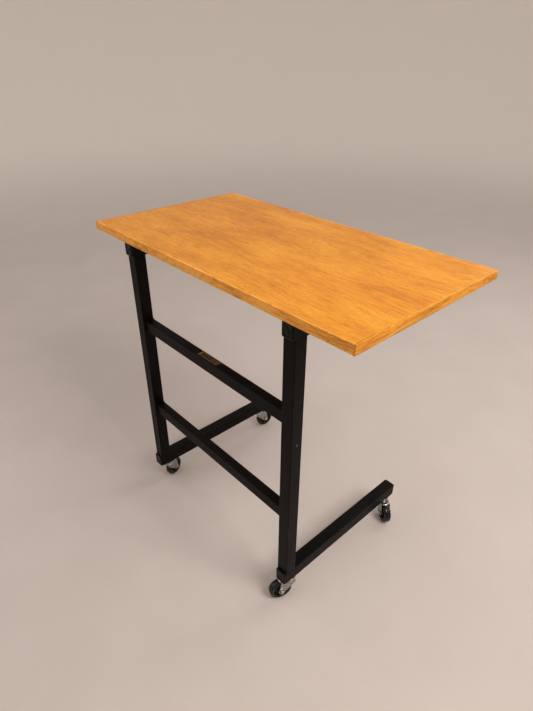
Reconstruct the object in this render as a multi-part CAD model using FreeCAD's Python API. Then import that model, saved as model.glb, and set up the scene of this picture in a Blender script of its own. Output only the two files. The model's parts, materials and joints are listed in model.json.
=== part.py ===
import FreeCAD, Part
import math
import os

# A mobile standing desk.  An oak-veneered board lies on two C-shaped legs of
# black square and rectangular steel tube.  Each leg is a foot tube, an upright
# on the back end of the foot and an arm tube on top of the upright.  Two
# crossbars join the uprights, and four swivel casters carry the feet.
# +Z is up, X runs along the board, and the uprights stand at the -Y (back) side.
# The origin lies on the floor, in the middle of the desk's overall box.
# All sizes are millimetres.

Vector = FreeCAD.Vector
X_AXIS = Vector(1, 0, 0)
Y_AXIS = Vector(0, 1, 0)
Z_AXIS = Vector(0, 0, 1)

# ---- board ----
board_length = 1100.0
board_depth = 585.0
board_thickness = 26.0
veneer_thickness = 0.8
lipping_thickness = 5.0
arris_radius = 1.0

# ---- steel frame ----
frame_width = 752.0  # over the outer faces of the two legs
tube_width = 40.0  # every leg tube, measured along the board
tube_wall = 2.0
tube_corner = 2.5
foot_height = 47.0
foot_length = 560.0
upright_depth = 40.0
upright_length = 836.0
arm_height = 44.0
arm_length = 530.0
back_inset = 11.0  # from the board's back edge to the uprights
crossbar_height = 40.0
crossbar_depth = 30.0
crossbar_setback = 9.5  # from the uprights' back faces
lower_crossbar_rise = 218.0  # above the feet
upper_crossbar_rise = 569.0  # above the feet

# ---- moulded end caps ----
cap_head = 8.0
cap_corner = 6.0
cap_rounding = 5.0
cap_dish_radius = 13.0
cap_dish_depth = 1.0
cap_plug_length = 14.0
cap_plug_wall = 2.0
cap_plug_clearance = 0.1

# ---- screws that hold the board ----
screw_diameter = 5.0
screw_hole_clearance = 0.25
screw_head_diameter = 10.0
screw_head_height = 3.0
screw_cover = 8.0  # wood left above the tip
screw_tip = 4.0
screw_count = 3
screw_upright_gap = 24.0  # from the upright to the first screw
screw_front_inset = 40.0

# ---- casters ----
wheel_diameter = 75.0
tread_width = 25.0
tread_shoulder = 7.0
tyre_thickness = 9.0
rim_inset = 1.0  # each side of the rim, inside the tyre's face
rim_wall = 3.0
web_thickness = 6.0
hub_diameter = 18.0
hub_overhang = 2.0  # each end of the hub, past the tyre's face
axle_diameter = 8.0
bearing_clearance = 0.05
fork_side_clearance = 0.5
fork_wall = 2.5
fork_bend = 5.0
fork_boss_radius = 10.0
fork_front = 16.0  # ahead of the swivel axis
fork_rear = 34.0  # behind the swivel axis
fork_front_drop = 12.0
fork_rear_drop = 6.0
fork_lip = 5.0  # bulge of the crown's rear edge, over the wheel
wheel_top_gap = 5.0
caster_trail = 31.0
kingpin_diameter = 12.0
rivet_diameter = 18.0
rivet_height = 3.0
race_radius = 21.0
race_plate = 2.0
race_skirt = 2.0
race_skirt_gap = 0.7
ball_diameter = 5.0
ball_circle_radius = 14.5
ball_count = 14
collar_across_flats = 19.0
collar_height = 4.0
stem_diameter = 10.0
stem_spare_thread = 4.0
stem_hole_clearance = 0.25
weld_nut_across_flats = 17.0
weld_nut_height = 8.0
axle_nut_across_flats = 13.0
axle_head_height = 5.0
axle_nut_height = 6.5
axle_thread_end = 2.0
caster_back_inset = 34.0  # from the back end of the foot tube
caster_front_inset = 28.0  # from its front end

# Each wheel trails in its own direction, in degrees from +X towards +Y.
caster_turn = {
    "back_left": 109.0,
    "back_right": -112.0,
    "front_left": 81.0,
    "front_right": -31.0,
}

# ---- heights, from the floor up ----
axle_z = wheel_diameter / 2
crown_top_z = wheel_diameter + wheel_top_gap + fork_wall
race_under_z = crown_top_z + ball_diameter + 2 * bearing_clearance
collar_under_z = race_under_z + race_plate
foot_bottom_z = collar_under_z + collar_height
foot_top_z = foot_bottom_z + foot_height
arm_bottom_z = foot_top_z + upright_length
board_bottom_z = arm_bottom_z + arm_height
board_top_z = board_bottom_z + board_thickness

# ---- widths inside the caster ----
hub_width = tread_width + 2 * hub_overhang
fork_gap = hub_width + 2 * fork_side_clearance
fork_width = fork_gap + 2 * fork_wall
rim_radius = wheel_diameter / 2 - tyre_thickness


def wheel_reach(name):
    """How far a wheel reaches past its own swivel axis, towards its own end of the desk."""
    turn = math.radians(caster_turn[name])
    trail = caster_trail * math.sin(turn)
    outward = trail if name.startswith("front") else -trail
    flat_radius = wheel_diameter / 2 - tread_shoulder
    flat_width = tread_width / 2 - tread_shoulder
    return outward + flat_radius * abs(math.sin(turn)) + flat_width * abs(math.cos(turn)) + tread_shoulder


def wheel_overhang(end, inset):
    """How far the wheels stand out past the board's edge at one end."""
    reach = max(wheel_reach(name) for name in caster_turn if name.startswith(end))
    return max(0.0, reach - inset)


# ---- places along Y: a wheel may stand out past the board's edge ----
front_inset = board_depth - back_inset - foot_length
back_overhang = wheel_overhang("back", back_inset + caster_back_inset)
front_overhang = wheel_overhang("front", front_inset + caster_front_inset)
board_back_y = (back_overhang - front_overhang - board_depth) / 2
board_front_y = board_back_y + board_depth
frame_back_y = board_back_y + back_inset

# ---- places along X: the middle of each leg ----
leg_side = {"left": -1.0, "right": 1.0}
leg_middle_x = {name: side * (frame_width - tube_width) / 2 for name, side in leg_side.items()}


def caster_pivot(name):
    """The swivel axis of a named caster, as x and y."""
    end, side = name.split("_")
    if end == "back":
        return leg_middle_x[side], frame_back_y + caster_back_inset
    return leg_middle_x[side], frame_back_y + foot_length - caster_front_inset


def block(x0, x1, y0, y1, z0, z1):
    """A box from its six faces."""
    return Part.makeBox(x1 - x0, y1 - y0, z1 - z0, Vector(x0, y0, z0))


def edges_along(shape, axis):
    """The straight edges that run along an axis."""
    straight = [edge for edge in shape.Edges if isinstance(edge.Curve, Part.Line)]
    return [edge for edge in straight if abs(edge.Curve.Direction.dot(axis)) > 0.999]


def rod(radius, bottom, direction, length):
    return Part.makeCylinder(radius, length, bottom, direction)


def hexagon(across_flats, bottom, direction, height):
    """A hexagonal prism that stands on a point."""
    radius = across_flats / math.sqrt(3)
    flat = Part.makePolygon(
        [Vector(radius * math.cos(i * math.pi / 3), radius * math.sin(i * math.pi / 3), 0) for i in range(7)]
    )
    prism = Part.Face(flat).extrude(Vector(0, 0, height))
    prism.Placement = FreeCAD.Placement(bottom, FreeCAD.Rotation(Z_AXIS, direction))
    return prism


def tube(x0, x1, y0, y1, z0, z1, axis):
    """A rectangular tube along an axis, with rounded corners and open ends."""
    outer = block(x0, x1, y0, y1, z0, z1)
    outer = outer.makeFillet(tube_corner, edges_along(outer, axis))
    inset = Vector(tube_wall, tube_wall, tube_wall)
    inset = inset - axis * tube_wall
    low = Vector(x0, y0, z0) + inset
    high = Vector(x1, y1, z1) - inset
    inner = block(low.x, high.x, low.y, high.y, low.z, high.z)
    inner = inner.makeFillet(tube_corner - tube_wall, edges_along(inner, axis))
    return outer.cut(inner)


# ---------------------------------------------------------------- board
def screw_places():
    """The y of each screw along an arm."""
    first = frame_back_y + upright_depth + screw_upright_gap
    last = frame_back_y + arm_length - screw_front_inset
    step = (last - first) / (screw_count - 1)
    return [first + i * step for i in range(screw_count)]


def screw_holes(radius, z0, z1):
    """Holes for every screw, from one height to another."""
    holes = []
    for x in leg_middle_x.values():
        holes += [rod(radius, Vector(x, y, z0), Z_AXIS, z1 - z0) for y in screw_places()]
    return holes


def make_board():
    """The worktop: a core, a veneer on each face and a lipping on each edge."""
    half = board_length / 2
    inner = half - lipping_thickness
    back = board_back_y + lipping_thickness
    front = board_front_y - lipping_thickness
    core_bottom = board_bottom_z + veneer_thickness
    core_top = board_top_z - veneer_thickness
    envelope = block(-half, half, board_back_y, board_front_y, board_bottom_z, board_top_z)
    envelope = envelope.makeFillet(arris_radius, envelope.Edges)
    tip_z = board_top_z - screw_cover
    cone_z = tip_z - screw_tip
    shanks = screw_holes(screw_diameter / 2, board_bottom_z, cone_z)
    tips = [
        Part.makeCone(screw_diameter / 2, 0, screw_tip, Vector(x, y, cone_z))
        for x in leg_middle_x.values()
        for y in screw_places()
    ]
    core = block(-inner, inner, back, front, core_bottom, core_top)
    lower = block(-inner, inner, back, front, board_bottom_z, core_bottom)
    upper = block(-inner, inner, back, front, core_top, board_top_z)

    def lipping(x0, x1, y0, y1):
        return envelope.common(block(x0, x1, y0, y1, board_bottom_z, board_top_z))

    return {
        "board_core": core.cut(shanks + tips),
        "board_face_veneer": upper,
        "board_back_veneer": lower.cut(shanks),
        "lipping_left": lipping(-half, -inner, board_back_y, board_front_y),
        "lipping_right": lipping(inner, half, board_back_y, board_front_y),
        "lipping_back": lipping(-inner, inner, board_back_y, back),
        "lipping_front": lipping(-inner, inner, front, board_front_y),
    }


# ---------------------------------------------------------------- frame
def make_leg(name):
    """A foot, an upright and an arm, welded end on end."""
    x0 = leg_middle_x[name] - tube_width / 2
    x1 = leg_middle_x[name] + tube_width / 2
    y0 = frame_back_y
    foot = tube(x0, x1, y0, y0 + foot_length, foot_bottom_z, foot_top_z, Y_AXIS)
    upright = tube(x0, x1, y0, y0 + upright_depth, foot_top_z, arm_bottom_z, Z_AXIS)
    arm = tube(x0, x1, y0, y0 + arm_length, arm_bottom_z, board_bottom_z, Y_AXIS)
    stem_hole = stem_diameter / 2 + stem_hole_clearance
    for end in ("back", "front"):
        x, y = caster_pivot(end + "_" + name)
        foot = foot.cut(rod(stem_hole, Vector(x, y, foot_bottom_z), Z_AXIS, tube_wall))
    hole = screw_diameter / 2 + screw_hole_clearance
    arm = arm.cut(screw_holes(hole, arm_bottom_z, board_bottom_z))
    return {"foot_tube_" + name: foot, "upright_tube_" + name: upright, "arm_tube_" + name: arm}


def make_crossbar(rise):
    """A bar from upright to upright, a given rise above the feet."""
    half = frame_width / 2 - tube_width
    y0 = frame_back_y + crossbar_setback
    z0 = foot_top_z + rise
    return tube(-half, half, y0, y0 + crossbar_depth, z0, z0 + crossbar_height, X_AXIS)


def make_cap(height):
    """A moulded cap for a tube end at y = 0, with its head towards +Y."""
    half = tube_width / 2
    head = block(-half, half, 0, cap_head, 0, height)
    head = head.makeFillet(cap_corner, edges_along(head, Y_AXIS))
    rim = [edge for edge in head.Edges if edge.CenterOfMass.y > cap_head - 0.01]
    head = head.makeFillet(cap_rounding, rim)
    dish = rod(cap_dish_radius, Vector(0, cap_head - cap_dish_depth, height / 2), Y_AXIS, cap_head)
    button = rod(
        cap_dish_radius / 2, Vector(0, cap_head - cap_dish_depth, height / 2), Y_AXIS, cap_dish_depth / 2
    )
    inset = tube_wall + cap_plug_clearance
    plug = block(inset - half, half - inset, -cap_plug_length, 0, inset, height - inset)
    inset += cap_plug_wall
    hollow = block(inset - half, half - inset, -cap_plug_length, 0, inset, height - inset)
    return head.cut(dish).fuse([button, plug.cut(hollow)]).removeSplitter()


def make_caps(name):
    """The four caps of one leg."""
    caps = {}
    for kind, height, bottom, length in (
        ("foot", foot_height, foot_bottom_z, foot_length),
        ("arm", arm_height, arm_bottom_z, arm_length),
    ):
        front = make_cap(height)
        front.translate(Vector(leg_middle_x[name], frame_back_y + length, bottom))
        back = make_cap(height)
        back.rotate(Vector(0, 0, 0), Z_AXIS, 180)
        back.translate(Vector(leg_middle_x[name], frame_back_y, bottom))
        caps[kind + "_cap_front_" + name] = front
        caps[kind + "_cap_back_" + name] = back
    return caps


def make_screws(name):
    """Pan-head screws, up through one arm and into the board."""
    x = leg_middle_x[name]
    radius = screw_diameter / 2
    cone_z = board_top_z - screw_cover - screw_tip
    screws = []
    for y in screw_places():
        head_z = arm_bottom_z - screw_head_height
        head = rod(screw_head_diameter / 2, Vector(x, y, head_z), Z_AXIS, screw_head_height)
        rim = [edge for edge in head.Edges if edge.CenterOfMass.z < head_z + 0.01]
        head = head.makeFillet(screw_head_height / 2, rim)
        shank = rod(radius, Vector(x, y, arm_bottom_z), Z_AXIS, cone_z - arm_bottom_z)
        tip = Part.makeCone(radius, 0, screw_tip, Vector(x, y, cone_z))
        screws.append(head.fuse([shank, tip]))
    return Part.makeCompound(screws)


def make_weld_nuts(name):
    """The two nuts inside one foot tube that take the caster stems."""
    nuts = []
    for end in ("back", "front"):
        x, y = caster_pivot(end + "_" + name)
        seat = Vector(x, y, foot_bottom_z + tube_wall)
        nut = hexagon(weld_nut_across_flats, seat, Z_AXIS, weld_nut_height)
        nuts.append(nut.cut(rod(stem_diameter / 2, seat, Z_AXIS, weld_nut_height)))
    return Part.makeCompound(nuts)


# ---------------------------------------------------------------- casters
# A caster is made with its swivel axis on Z and its wheel trailing to +X.
def make_stem():
    """A threaded stem, a hexagon collar and the kingpin with its rivet head."""
    top = foot_bottom_z + tube_wall + weld_nut_height + stem_spare_thread
    rivet_top = crown_top_z - fork_wall - bearing_clearance
    thread = rod(stem_diameter / 2, Vector(0, 0, foot_bottom_z), Z_AXIS, top - foot_bottom_z)
    collar = hexagon(collar_across_flats, Vector(0, 0, collar_under_z), Z_AXIS, collar_height)
    kingpin = rod(kingpin_diameter / 2, Vector(0, 0, rivet_top), Z_AXIS, collar_under_z - rivet_top)
    rivet = rod(rivet_diameter / 2, Vector(0, 0, rivet_top - rivet_height), Z_AXIS, rivet_height)
    rim = [edge for edge in rivet.Edges if edge.CenterOfMass.z < rivet_top - rivet_height + 0.01]
    rivet = rivet.makeFillet(rivet_height / 2, rim)
    return collar.fuse([thread, kingpin, rivet])


def make_race():
    """The pressed cup over the balls."""
    bottom = crown_top_z + race_skirt_gap
    cup = rod(race_radius, Vector(0, 0, bottom), Z_AXIS, collar_under_z - bottom)
    rim = [edge for edge in cup.Edges if edge.CenterOfMass.z > collar_under_z - 0.01]
    cup = cup.makeFillet(race_skirt, rim)
    hollow = rod(race_radius - race_skirt, Vector(0, 0, bottom), Z_AXIS, race_under_z - bottom)
    bore = rod(kingpin_diameter / 2, Vector(0, 0, bottom), Z_AXIS, collar_under_z - bottom)
    return cup.cut([hollow, bore])


def make_balls():
    """The ring of balls between the cup and the fork's crown."""
    z = crown_top_z + bearing_clearance + ball_diameter / 2
    balls = []
    for i in range(ball_count):
        turn = 2 * math.pi * i / ball_count
        centre = Vector(ball_circle_radius * math.cos(turn), ball_circle_radius * math.sin(turn), z)
        balls.append(Part.makeSphere(ball_diameter / 2, centre))
    return Part.makeCompound(balls)


def tangent_point(corner, centre, radius, side):
    """Where a line from a corner touches a circle, on one side of it."""
    reach = corner - centre
    spread = math.acos(radius / reach.Length)
    turn = math.atan2(reach.z, reach.x) + side * spread
    return centre + Vector(radius * math.cos(turn), 0, radius * math.sin(turn))


def make_fork():
    """A steel channel whose cheeks taper down to the axle, with a round crown and a rear lip."""
    half = fork_width / 2
    far = caster_trail + fork_boss_radius
    low = axle_z - fork_boss_radius
    channel = block(-fork_front, far, -half, half, low, crown_top_z)
    top_edges = [
        edge for edge in edges_along(channel, X_AXIS) if edge.CenterOfMass.z > crown_top_z - 0.01
    ]
    channel = channel.makeFillet(fork_bend, top_edges)
    inner_top = crown_top_z - fork_wall
    gap = block(-fork_front, far, -fork_gap / 2, fork_gap / 2, low, inner_top)
    gap_edges = [edge for edge in edges_along(gap, X_AXIS) if edge.CenterOfMass.z > inner_top - 0.01]
    channel = channel.cut(gap.makeFillet(fork_bend - fork_wall, gap_edges))

    axle = Vector(caster_trail, 0, axle_z)
    front_top = Vector(-fork_front, 0, crown_top_z)
    rear_top = Vector(fork_rear, 0, crown_top_z)
    rear_low = Vector(fork_rear, 0, crown_top_z - fork_rear_drop)
    front_low = Vector(-fork_front, 0, crown_top_z - fork_front_drop)
    rear_touch = tangent_point(rear_low, axle, fork_boss_radius, -1)
    front_touch = tangent_point(front_low, axle, fork_boss_radius, 1)
    boss = Part.Arc(rear_touch, Vector(caster_trail, 0, low), front_touch)
    outline = Part.Wire(
        [
            Part.makeLine(front_top, rear_top),
            Part.makeLine(rear_top, rear_low),
            Part.makeLine(rear_low, rear_touch),
            boss.toShape(),
            Part.makeLine(front_touch, front_low),
            Part.makeLine(front_low, front_top),
        ]
    )
    side = Part.Face(outline).extrude(Vector(0, fork_width, 0))
    side.translate(Vector(0, -half, 0))
    crown = rod(race_radius, Vector(0, 0, inner_top), Z_AXIS, fork_wall)
    chord = half - fork_bend
    lip_radius = (chord**2 + fork_lip**2) / (2 * fork_lip)
    lip_middle = Vector(fork_rear + fork_lip - lip_radius, 0, inner_top)
    lip = rod(lip_radius, lip_middle, Z_AXIS, fork_wall)
    fork = channel.common(side).fuse([crown, lip]).removeSplitter()
    pin_hole = rod(kingpin_diameter / 2 + bearing_clearance, Vector(0, 0, inner_top), Z_AXIS, fork_wall)
    axle_hole = rod(axle_diameter / 2, Vector(caster_trail, -half, axle_z), Y_AXIS, fork_width)
    return fork.cut([pin_hole, axle_hole])


def make_axle_bolt():
    """A hexagon bolt through both cheeks, with its head on the -Y side."""
    half = fork_width / 2
    head = hexagon(axle_nut_across_flats, Vector(caster_trail, -half, axle_z), -Y_AXIS, axle_head_height)
    length = fork_width + axle_nut_height + axle_thread_end
    shank = rod(axle_diameter / 2, Vector(caster_trail, -half, axle_z), Y_AXIS, length)
    return head.fuse(shank)


def make_axle_nut():
    seat = Vector(caster_trail, fork_width / 2, axle_z)
    nut = hexagon(axle_nut_across_flats, seat, Y_AXIS, axle_nut_height)
    return nut.cut(rod(axle_diameter / 2, seat, Y_AXIS, axle_nut_height))


def ring(outer, inner, width):
    """A flat ring round the axle."""
    start = Vector(caster_trail, -width / 2, axle_z)
    return rod(outer, start, Y_AXIS, width).cut(rod(inner, start, Y_AXIS, width))


def make_wheel_centre():
    """A moulded centre: a hub, a web and a rim."""
    bore = axle_diameter / 2 + bearing_clearance
    rim_width = tread_width - 2 * rim_inset
    hub = ring(hub_diameter / 2, bore, hub_width)
    web = ring(rim_radius, bore, web_thickness)
    rim = ring(rim_radius, rim_radius - rim_wall, rim_width)
    return hub.fuse([web, rim]).removeSplitter()


def make_tyre():
    """A solid tyre with rounded shoulders."""
    outer = wheel_diameter / 2
    tyre = ring(outer, rim_radius, tread_width)
    shoulders = [
        edge for edge in tyre.Edges if isinstance(edge.Curve, Part.Circle) and edge.Curve.Radius > outer - 0.01
    ]
    return tyre.makeFillet(tread_shoulder, shoulders)


def make_caster(name):
    """One caster, turned to its own direction under its own foot."""
    pieces = {
        "stem_": make_stem(),
        "swivel_race_": make_race(),
        "bearing_balls_": make_balls(),
        "fork_": make_fork(),
        "axle_bolt_": make_axle_bolt(),
        "axle_nut_": make_axle_nut(),
        "wheel_centre_": make_wheel_centre(),
        "tyre_": make_tyre(),
    }
    x, y = caster_pivot(name)
    for shape in pieces.values():
        shape.rotate(Vector(0, 0, 0), Z_AXIS, caster_turn[name])
        shape.translate(Vector(x, y, 0))
    return {prefix + name: shape for prefix, shape in pieces.items()}


def make_desk():
    """Every piece of the desk, by node name."""
    desk = make_board()
    for name in leg_side:
        desk.update(make_leg(name))
        desk.update(make_caps(name))
        desk["board_screws_" + name] = make_screws(name)
        desk["weld_nuts_" + name] = make_weld_nuts(name)
    desk["crossbar_lower"] = make_crossbar(lower_crossbar_rise)
    desk["crossbar_upper"] = make_crossbar(upper_crossbar_rise)
    for name in caster_turn:
        desk.update(make_caster(name))
    return desk


os.makedirs("parts", exist_ok=True)
for node, shape in make_desk().items():
    shape.exportStep("parts/" + node + ".step")
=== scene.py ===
# %% [markdown]
# # A mobile standing desk
#
# An oak-veneered board lies on a C-shaped frame of black steel tube, and the
# frame rolls on four swivel casters.  The packed model already holds the
# frame, the sizes and the joints.  This lesson adds the looks: wood that has
# grain and worn edges, satin paint, plated steel, and small parts with the
# rounds, ribs and beads that a maker would see on a bench.

import json
import math

import bmesh
import bpy
from mathutils import Matrix, Vector, noise


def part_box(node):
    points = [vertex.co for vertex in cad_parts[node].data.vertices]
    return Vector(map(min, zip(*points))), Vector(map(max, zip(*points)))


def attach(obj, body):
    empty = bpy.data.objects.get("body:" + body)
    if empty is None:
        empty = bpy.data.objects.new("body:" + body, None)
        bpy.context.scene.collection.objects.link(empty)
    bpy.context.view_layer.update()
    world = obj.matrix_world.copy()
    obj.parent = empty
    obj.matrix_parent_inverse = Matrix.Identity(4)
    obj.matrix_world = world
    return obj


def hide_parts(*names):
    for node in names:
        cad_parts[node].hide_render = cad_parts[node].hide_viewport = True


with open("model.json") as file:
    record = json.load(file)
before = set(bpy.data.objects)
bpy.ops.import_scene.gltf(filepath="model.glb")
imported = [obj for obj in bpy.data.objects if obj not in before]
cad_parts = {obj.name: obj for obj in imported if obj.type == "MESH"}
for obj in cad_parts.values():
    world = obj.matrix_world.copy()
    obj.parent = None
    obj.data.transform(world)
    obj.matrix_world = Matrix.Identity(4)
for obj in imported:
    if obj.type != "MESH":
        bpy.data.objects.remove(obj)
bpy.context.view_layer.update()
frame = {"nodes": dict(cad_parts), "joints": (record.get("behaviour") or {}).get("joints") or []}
nodes = frame["nodes"]
joints = {joint["name"]: joint for joint in frame["joints"]}
MM = 0.001

# %% [markdown]
# ## Where things are
#
# A desk maker measures from a few faces.  All of them can be read from the
# packed nodes, so nothing here repeats a size that the model already has.

# %% Read the board's corners
board_ends = [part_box("lipping_left"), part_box("lipping_right")]
board_low = Vector(map(min, *[low for low, high in board_ends]))
board_high = Vector(map(max, *[high for low, high in board_ends]))
print("board", [round(v, 4) for v in board_high - board_low])


# %% [markdown]
# A caster is easiest to draw in its own space: its swivel axis on Z, its wheel
# trailing to +X and its axle along Y.  A matrix then carries each piece to the
# place and the turn that the joints give.


# %% The space of one caster
class Caster:
    """One caster, with the matrix from its own space to the desk's."""

    def __init__(self, name):
        pivot = Vector(joints["swivel_" + name]["pos_m"])
        wheel = Vector(joints["roll_" + name]["pos_m"])
        turn = math.atan2(wheel.y - pivot.y, wheel.x - pivot.x)
        self.name = name
        self.space = Matrix.Translation((pivot.x, pivot.y, 0)) @ Matrix.Rotation(turn, 4, "Z")

    def box(self, part):
        """The lowest and highest corners of one of its nodes, in its own space."""
        back = self.space.inverted()
        points = [back @ vertex.co for vertex in nodes[f"{part}_{self.name}"].data.vertices]
        return [Vector([pick(p[i] for p in points) for i in range(3)]) for pick in (min, max)]

    def axle(self, part):
        """A space whose Z runs along the axle towards the nut, from the middle of a part."""
        low, high = self.box(part)
        middle = Matrix.Translation(((low.x + high.x) / 2, 0, (low.z + high.z) / 2))
        return self.space @ (middle @ Matrix.Rotation(-math.pi / 2, 4, "X"))


casters = [Caster(name.removeprefix("swivel_")) for name in joints if name.startswith("swivel_")]
for caster in casters:
    low, high = caster.box("tyre")
    print(caster.name, "tyre", [round(v / MM, 1) for v in high - low], "mm")

# %% [markdown]
# ## Writing materials as expressions
#
# A material is a small program.  Wiring it by hand hides the thought in it, so
# one class wraps a node's output, and Python's own operators add the Math
# nodes.  `1 - mask` or `grain * 0.4 + rings * 0.6` then reads as it is meant.
# The other class is the sheet that the nodes are laid on, and its one method
# `node` makes any node from its type, its settings and its sockets.


# %% Wires and sheets
class Wire:
    """One output of a node.  Operators on it add Math nodes."""

    def __init__(self, sheet, socket):
        self.sheet = sheet
        self.socket = socket

    def math(self, operation, *terms):
        return self.sheet.node("ShaderNodeMath", {"operation": operation}, dict(enumerate(terms)))

    def __add__(self, other):
        return self.math("ADD", self, other)

    def __sub__(self, other):
        return self.math("SUBTRACT", self, other)

    def __rsub__(self, other):
        return self.math("SUBTRACT", other, self)

    def __mul__(self, other):
        return self.math("MULTIPLY", self, other)

    def __truediv__(self, other):
        return self.math("DIVIDE", self, other)

    def sine(self):
        return self.math("SINE", self)

    def absolute(self):
        return self.math("ABSOLUTE", self)

    def largest(self, other):
        return self.math("MAXIMUM", self, other)

    __radd__ = __add__
    __rmul__ = __mul__


class Sheet:
    """A node tree that is being laid out."""

    def __init__(self, tree):
        self.tree = tree
        self.tree.nodes.clear()

    def node(self, kind, settings=None, sockets=None, out=0):
        """Adds a node: its settings first, then its sockets.  Returns one of its outputs."""
        made = self.tree.nodes.new(kind)
        for key, value in (settings or {}).items():
            if key == "stops":
                self.set_stops(made.color_ramp, value)
            else:
                setattr(made, key, value)
        for key, value in (sockets or {}).items():
            if isinstance(value, Wire):
                self.tree.links.new(value.socket, made.inputs[key])
            else:
                made.inputs[key].default_value = value
        return Wire(self, made.outputs[out]) if made.outputs else made

    def set_stops(self, ramp, stops):
        while len(ramp.elements) > 1:
            ramp.elements.remove(ramp.elements[-1])
        for index, (position, colour) in enumerate(stops):
            stop = ramp.elements[0] if index == 0 else ramp.elements.new(position)
            stop.position = position
            stop.color = (*colour, 1)


print("a wire knows", [name.strip("_") for name in vars(Wire) if callable(getattr(Wire, name))])

# %% [markdown]
# Every finish on this desk starts from the place of a point on its piece, and
# is built from the same few patterns: clouds of noise, smooth ramps, colours
# along a scale, blends and a fine bump.  A class keeps them together.


# %% The sheet of a finish
class Finish(Sheet):
    """A material, with the few patterns that this desk's finishes share."""

    def __init__(self, name):
        self.material = bpy.data.materials.new(name)
        self.material.use_nodes = True
        super().__init__(self.material.node_tree)
        self.place = self.node("ShaderNodeTexCoord", out="Object")

    def vector(self, operation, *terms, out=0):
        return self.node("ShaderNodeVectorMath", {"operation": operation}, dict(enumerate(terms)), out)

    def stretched(self, factors, place=None):
        """The place, multiplied along each axis."""
        return self.vector("MULTIPLY", place or self.place, factors)

    def clouds(self, scale, detail=3.0, roughness=0.5, place=None):
        sockets = {"Vector": place or self.place, "Scale": scale, "Detail": detail, "Roughness": roughness}
        return self.node("ShaderNodeTexNoise", None, sockets)

    def ramp(self, value, low, high):
        """Rises smoothly from 0 at `low` to 1 at `high`."""
        sockets = {"Value": value, "From Min": low, "From Max": high}
        return self.node("ShaderNodeMapRange", {"interpolation_type": "SMOOTHSTEP"}, sockets)

    def colours(self, value, stops):
        return self.node("ShaderNodeValToRGB", {"stops": stops}, {"Fac": value})

    def blend(self, factor, under, over):
        colours = [c if isinstance(c, Wire) else (*c, 1) for c in (under, over)]
        sockets = {0: factor, 6: colours[0], 7: colours[1]}
        return self.node("ShaderNodeMix", {"data_type": "RGBA"}, sockets, out=2)

    def bump(self, height, depth):
        return self.node("ShaderNodeBump", None, {"Height": height, "Distance": depth, "Strength": 1.0})

    def axis(self, letter):
        """One coordinate of the place."""
        return self.node("ShaderNodeSeparateXYZ", None, {"Vector": self.place}, out=letter)

    def shade(self, **sockets):
        """The surface itself.  Words such as base_color name the shader's sockets."""
        named = {key.replace("_", " ").title(): value for key, value in sockets.items()}
        named = {key.replace("Ior", "IOR"): value for key, value in named.items()}
        surface = self.node("ShaderNodeBsdfPrincipled", None, named)
        self.node("ShaderNodeOutputMaterial", None, {"Surface": surface})
        print("finish", self.material.name, len(self.tree.nodes), "nodes")
        return self.material


print("a finish knows", [name for name in vars(Finish) if not name.startswith("_")])

# %% [markdown]
# ## Oak, in four cuts
#
# The board is covered with sliced oak under warm lacquer.  Oak shows several
# things at once: soft clouds of tone, long bands, streaks, fine fibres, and
# short dark pores.  Each is noise that is stretched along the grain by its own
# amount, and all of them run through one place that is first bent a little, so
# that no line is ruler-straight.  Noise fills the wood in three dimensions, so
# the faces and the edges agree, as in a real plank.


# %% Lacquered oak
class Oak(Finish):
    """Oak with its grain along an axis: 0 for X, 1 for Y."""

    def __init__(self, name, grain_axis):
        super().__init__(name)
        self.grain_axis = grain_axis
        drift = (self.clouds(2.3, 2.0) - 0.5) * 0.035
        side = {"Y" if grain_axis == 0 else "X": drift, "Z": drift * 0.3}
        self.bent = self.vector("ADD", self.place, self.node("ShaderNodeCombineXYZ", None, side))

    def along(self, length, width, detail=3.0, roughness=0.55):
        """Noise whose patches are about so long and so wide, in millimetres."""
        factors = [1.0 if i == self.grain_axis else length / width for i in range(3)]
        return self.clouds(1000 / length, detail, roughness, self.stretched(factors, self.bent))


def tinted(colour, factors):
    """A colour, multiplied channel by channel."""
    return tuple(min(1.0, c * f) for c, f in zip(colour, factors))


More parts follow.
